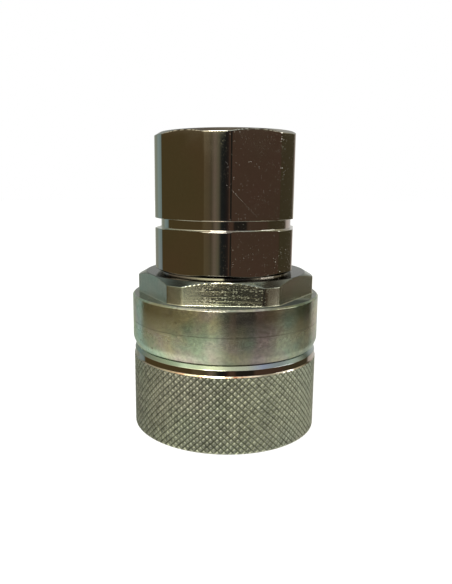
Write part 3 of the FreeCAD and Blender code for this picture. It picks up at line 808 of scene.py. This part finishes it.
def buildSleeve():
    # A turned sleeve with a knurl. On the knurl, radius = crest minus depth times the cut, on a
    # grid whose rows and steps fall on the cuts, with a point in the middle of each square.
    size = {"cuts": 92, "rise": 25.0 / 12, "depth": 0.37, "perCut": 4, "knurlTop": 25.2, "foot": 0.2,
            "land": 31.75, "landFoot": 25.6, "landTop": 27.5, "topRadius": 30.9, "lip": 22.08,
            "lipFoot": 19.95, "relief": 27.4, "threadTop": 12.9, "lead": 1.5, "pitch": 4.0,
            "threadDepth": 1.1, "threadFade": 1.2, "threadRows": 92, "crestShare": 0.30,
            "flankShare": 0.36, "mouthRim": 0.25, "firstCut": 0.35}
    crest = radiusOf("knurled_sleeve")
    count = size["cuts"] * size["perCut"]
    angles = evenAngles(count)
    halfStep = turn / count / 2
    rowStep = size["rise"] / size["perCut"]
    rows = int(round((size["knurlTop"] - size["foot"]) / rowStep))
    mesh = RingMesh("knurledGrip")

    def knurlRing(where, height, share=1.0):
        around = where * size["cuts"] / turn
        cut = share * knurlCut(around, (height - size["foot"]) / size["rise"])
        return ringPoints(where, crest - size["depth"] * cut, height), cut

    mesh.rings(angles, mouthMinor + size["lead"], 0.0)
    mesh.rings(angles, crest - size["mouthRim"], 0.0)
    points, cut = knurlRing(angles, size["foot"], size["firstCut"])
    mesh.ring(points, mark=cut)
    for row in range(1, rows + 1):
        height = size["foot"] + row * rowStep
        middles, middleCut = knurlRing(angles + halfStep, height - rowStep / 2)
        points, cut = knurlRing(angles, height)
        mesh.ring(points, middles, cut, middleCut)
    top = roundedOutline([
        (crest - 0.05, size["knurlTop"] + 0.06, 0), (size["land"], size["landFoot"] + 0.05, 0.25),
        (size["land"], size["landTop"], 0.2),
        (size["topRadius"], sleeveTop, 0.2), (size["lip"], sleeveTop, 0.3),
        (size["lip"], size["lipFoot"], 0.15), (size["relief"], size["lipFoot"], 0.3),
        (size["relief"], size["threadTop"], 0.3), (mouthMinor, size["threadTop"], 0.15)])
    for radius, height in top:
        mesh.rings(angles, radius, height)
    threadRings(mesh, angles, mouthMinor, size["threadTop"] - 0.3, size["lead"], size)
    piece = mesh.build(markName="cutDepth", sharpAbove=48.0)
    centres = faceCentres(piece)
    inside = np.hypot(centres[:, 0], centres[:, 1]) < size["topRadius"] - 0.4
    turned = inside | (centres[:, 2] > size["knurlTop"] + 0.06)
    setFinishes(piece, np.where(turned, 1, 0), [finishes["zinc_knurl"], bandZinc])
    finishPiece(piece, "sleeve", "knurled_sleeve")


def buildCoil():
    # Centre line: a circle about the axis whose height rises with the turn, slower at both
    # ends. The wire is a circle carried along it, with a flat face at each end.
    size = {"wire": 0.8, "turns": 4, "perTurn": 60, "sides": 14, "closing": 0.45, "stroke": 10.0}
    foot, top = heights("valve_spring")
    length = top - foot
    middle = radiusOf("valve_spring") - size["wire"]
    share = np.linspace(0, 1, size["turns"] * size["perTurn"] + 1)
    angles = turn * size["turns"] * share
    eased = share - size["closing"] * np.sin(turn * share) / turn
    rise = (length - 2 * size["wire"]) * eased
    centre = ringPoints(angles, middle, foot + size["wire"] + rise)
    outward = ringPoints(angles, 1.0, 0.0)
    upward = np.cross(outward, np.gradient(ringPoints(angles, middle, rise), axis=0))
    upward /= np.linalg.norm(upward, axis=1)[:, None]
    wire = evenAngles(size["sides"])[:, None]
    across = outward[:, None] * np.cos(wire) + upward[:, None] * np.sin(wire)
    points = (centre[:, None] + size["wire"] * across).reshape(-1, 3)
    start = np.arange(len(share) - 1)[:, None] * size["sides"]
    ahead = start + size["sides"]
    side = np.arange(size["sides"])
    nextSide = (side + 1) % size["sides"]
    corners = [start + side, ahead + side, ahead + nextSide, start + nextSide]
    faces = np.stack(corners, 2).reshape(-1, 4).tolist()
    faces += [side.tolist(), (len(points) - size["sides"] + side[::-1]).tolist()]
    piece = meshPiece("valveCoil", points * mm, faces, 50.0)
    piece.data.materials.append(finishes["spring_steel"])
    finishPiece(piece, "coupler_body", "valve_spring")
    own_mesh(piece)
    print("coil length", round(length, 2))


buildAdaptor()
buildBody()
buildSleeve()
buildCoil()

for part in frame["record"]["subparts"]:
    node = frame["nodes"][part["node"]]
    finish = finishes[part["material_slot"]]
    for place in node.material_slots:
        place.material = finish
    if not node.material_slots:
        node.data.materials.append(finish)


def buildFloor():
    # A pale disc just under the coupler. It is clear from below, and mirrors don't show it.
    settings = {"radius": 2500.0, "height": -0.15, "grey": 0.3, "glow": 0.96}
    rim = ringPoints(evenAngles(96), settings["radius"], settings["height"]) * mm
    floor = meshPiece("floor", rim, [list(range(len(rim)))], 30.0)
    material, nodes, shader = newMaterial("paleFloor")
    nodes.feed(shader, "Base Color", (*[settings["grey"]] * 3, 1))
    nodes.feed(shader, "Roughness", 1.0)
    nodes.feed(shader, "Specular IOR Level", 0.0)
    nodes.feed(shader, "Emission Color", (1, 1, 1, 1))
    nodes.feed(shader, "Emission Strength", settings["glow"])
    below = nodes.add("ShaderNodeNewGeometry").outputs["Backfacing"]
    clear = nodes.add("ShaderNodeBsdfTransparent")
    either = nodes.add("ShaderNodeMixShader", {0: below, 1: shader.outputs[0], 2: clear.outputs[0]})
    nodes.feed(material.node_tree.nodes["Material Output"], "Surface", either.outputs[0])
    floor.data.materials.append(material)
    floor.visible_glossy = False
    return floor


def buildWorld():
    # What the metal mirrors: the room by azimuth, in degrees from the front to the right, in
    # layers of height. A height is the upward part of the direction, from -1 to 1. The
    # camera itself sees plain white.
    room = {
        "level": [
            (-180, (0.62, 0.64, 0.62)), (-158, (0.30, 0.32, 0.28)), (-142, (0.20, 0.215, 0.175)),
            (-132, (0.21, 0.265, 0.27)), (-121, (0.155, 0.205, 0.21)), (-117, (0.062, 0.045, 0.019)),
            (-40, (0.062, 0.044, 0.020)), (-36, (0.088, 0.068, 0.036)), (-25, (0.078, 0.060, 0.034)),
            (-21, (0.060, 0.050, 0.030)), (-16, (0.125, 0.100, 0.076)), (-10, (0.085, 0.078, 0.052)),
            (-6, (0.013, 0.015, 0.014)), (-1, (0.010, 0.011, 0.011)), (4, (0.016, 0.012, 0.011)),
            (8, (0.056, 0.034, 0.024)), (14, (0.054, 0.033, 0.023)), (16, (0.014, 0.012, 0.010)),
            (37, (0.014, 0.012, 0.010)), (40, (0.055, 0.034, 0.024)), (76, (0.053, 0.032, 0.022)),
            (84, (0.042, 0.033, 0.018)), (128, (0.046, 0.038, 0.022)), (135, (0.38, 0.34, 0.31)),
            (180, (0.62, 0.64, 0.62))],
        "above": [
            (-180, (0.20, 0.20, 0.19)), (-132, (0.10, 0.125, 0.12)), (-116, (0.15, 0.14, 0.11)),
            (-70, (0.30, 0.28, 0.20)), (-34, (0.72, 0.68, 0.46)), (-3, (0.95, 0.90, 0.64)),
            (1, (0.016, 0.018, 0.022)), (46, (0.028, 0.028, 0.028)), (58, (0.24, 0.23, 0.18)),
            (110, (0.20, 0.18, 0.13)), (126, (0.06, 0.055, 0.035)), (136, (0.20, 0.20, 0.18)),
            (180, (0.20, 0.20, 0.19))],
        "window": [
            (-90, (0.0, 0.0, 0.0)), (-50, (0.30, 0.29, 0.22)), (-34, (0.80, 0.76, 0.54)),
            (-4, (1.0, 0.95, 0.68)), (-1, (0.0, 0.0, 0.0)), (52, (0.0, 0.0, 0.0)),
            (62, (0.03, 0.03, 0.02)), (78, (0.14, 0.13, 0.10)), (108, (0.12, 0.11, 0.08)),
            (122, (0.0, 0.0, 0.0))],
        "strip": [
            (-66, (0.0, 0.0, 0.0)), (-50, (1.0, 0.97, 0.9)), (44, (1.0, 0.97, 0.9)),
            (58, (0.0, 0.0, 0.0))],
        "overhead": [
            (-180, (0.16, 0.14, 0.115)), (-150, (0.06, 0.055, 0.045)), (-120, (0.05, 0.06, 0.06)),
            (-80, (0.52, 0.56, 0.53)), (0, (0.50, 0.53, 0.46)), (70, (0.52, 0.56, 0.56)),
            (120, (0.08, 0.075, 0.06)), (165, (0.06, 0.045, 0.035)), (180, (0.16, 0.14, 0.115))],
        "table": [
            (-180, (0.42, 0.43, 0.38)), (-135, (0.46, 0.49, 0.44)), (-100, (0.60, 0.61, 0.50)),
            (-30, (0.62, 0.61, 0.48)), (-8, (0.56, 0.55, 0.44)), (1, (0.14, 0.14, 0.13)),
            (60, (0.14, 0.14, 0.125)), (85, (0.40, 0.40, 0.33)), (140, (0.52, 0.52, 0.45)),
            (180, (0.42, 0.43, 0.38))],
        "zenith": (0.45, 0.46, 0.44, 1), "aboveFrom": (0.08, 0.22), "aboveGain": 1.6,
        "windowHeights": (0.07, 0.13, 0.55, 0.40), "windowGain": 5.0,
        "stripHeights": (0.48, 0.54, 0.70, 0.64), "stripGain": 2.2, "overheadFrom": (0.60, 0.78),
        "zenithFrom": (0.86, 0.93), "tableBelow": (-0.42, -0.60)}
    world = bpy.data.worlds.new("room")
    scene.world = world
    world.use_nodes = True
    world.node_tree.nodes.clear()
    nodes = Nodes(world.node_tree)
    direction = nodes.add("ShaderNodeTexCoord").outputs["Generated"]
    right, back, up = nodes.add("ShaderNodeSeparateXYZ", {0: direction}).outputs
    azimuth = nodes.math("ARCTAN2", right, nodes.times(back, -1.0))
    share = nodes.range(azimuth, -math.pi, math.pi)

    def layer(name):
        return nodes.ramp(share, [((degrees + 180) / 360, colour) for degrees, colour in room[name]])

    def within(footLow, footHigh, topHigh, topLow):
        return nodes.times(nodes.range(up, footLow, footHigh), nodes.range(up, topHigh, topLow))

    above = nodes.mix(1.0, layer("above"), (*[room["aboveGain"]] * 3, 1), "MULTIPLY")
    inWindow = nodes.times(within(*room["windowHeights"]), room["windowGain"])
    above = nodes.mix(inWindow, above, layer("window"), "ADD")
    seen = nodes.mix(nodes.range(up, *room["aboveFrom"]), layer("level"), above)
    seen = nodes.mix(nodes.range(up, *room["overheadFrom"]), seen, layer("overhead"))
    inStrip = nodes.times(within(*room["stripHeights"]), room["stripGain"])
    seen = nodes.mix(inStrip, seen, layer("strip"), "ADD")
    seen = nodes.mix(nodes.range(up, *room["zenithFrom"]), seen, room["zenith"])
    seen = nodes.mix(nodes.range(up, *room["tableBelow"]), seen, layer("table"))
    byCamera = nodes.add("ShaderNodeLightPath").outputs["Is Camera Ray"]
    seen = nodes.mix(byCamera, seen, (1, 1, 1, 1))
    background = nodes.add("ShaderNodeBackground", {0: seen, 1: 1.0})
    nodes.feed(nodes.add("ShaderNodeOutputWorld"), 0, background.outputs[0])


def areaLight(name, place, target, width, height, power, colour):
    data = bpy.data.lights.new(name, "AREA")
    data.shape = "RECTANGLE"
    data.size, data.size_y = width, height
    data.energy = power
    data.color = colour
    lamp = placed(name, data)
    lamp.location = place
    aim = Vector(target) - Vector(place)
    lamp.rotation_euler = aim.to_track_quat("-Z", "Y").to_euler()


def buildCamera():
    # A plain pinhole view from in front and a little above. Distance and height are in collar
    # radii, angles in degrees, and focal length and shift are in the units of frameHeight.
    view = {"focal": 572.86, "distance": 6.172, "height": 2.6054, "pitch": 10.8386,
            "roll": 0.1747, "yaw": -2.4345, "aside": 1.3387, "across": -25.04,
            "frameHeight": 584.0, "sensor": 36.0}
    collar = radiusOf("hex_collar_body") * mm
    pitch, roll, yaw, aside = (math.radians(view[name]) for name in ("pitch", "roll", "yaw", "aside"))
    level = math.cos(pitch)
    forward = np.array([math.sin(yaw) * level, math.cos(yaw) * level, -math.sin(pitch)])
    right = np.array([math.cos(yaw), -math.sin(yaw), 0.0])
    up = np.cross(right, forward)
    tilted = right * math.cos(roll) + up * math.sin(roll)
    upright = up * math.cos(roll) - right * math.sin(roll)
    spin = np.array(Matrix.Rotation(aside, 3, "Z"))
    matrix = np.eye(4)
    matrix[:3, :3] = spin @ np.stack([tilted, upright, -forward], 1)
    matrix[:3, 3] = spin @ np.array([0.0, -view["distance"], view["height"]]) * collar
    data = bpy.data.cameras.new("camera")
    data.sensor_width = view["sensor"]
    data.lens = view["focal"] * view["sensor"] / view["frameHeight"]
    data.shift_x = -view["across"] / view["frameHeight"]
    data.clip_start = 0.01
    scene.camera = placed("camera", data)
    scene.camera.matrix_world = Matrix(matrix.tolist())


buildFloor()
buildWorld()
areaLight("keyLight", (-0.135, -0.62, 0.53), (0, 0, 0.05), 0.34, 0.13, 2.4, (1.0, 0.97, 0.90))
areaLight("sideLight", (0.74, -0.13, 0.28), (0, 0, 0.03), 0.40, 0.16, 0.8, (1.0, 0.98, 0.95))
buildCamera()
scene.view_settings.view_transform = "Standard"
print("floor, room, lights and camera ready")
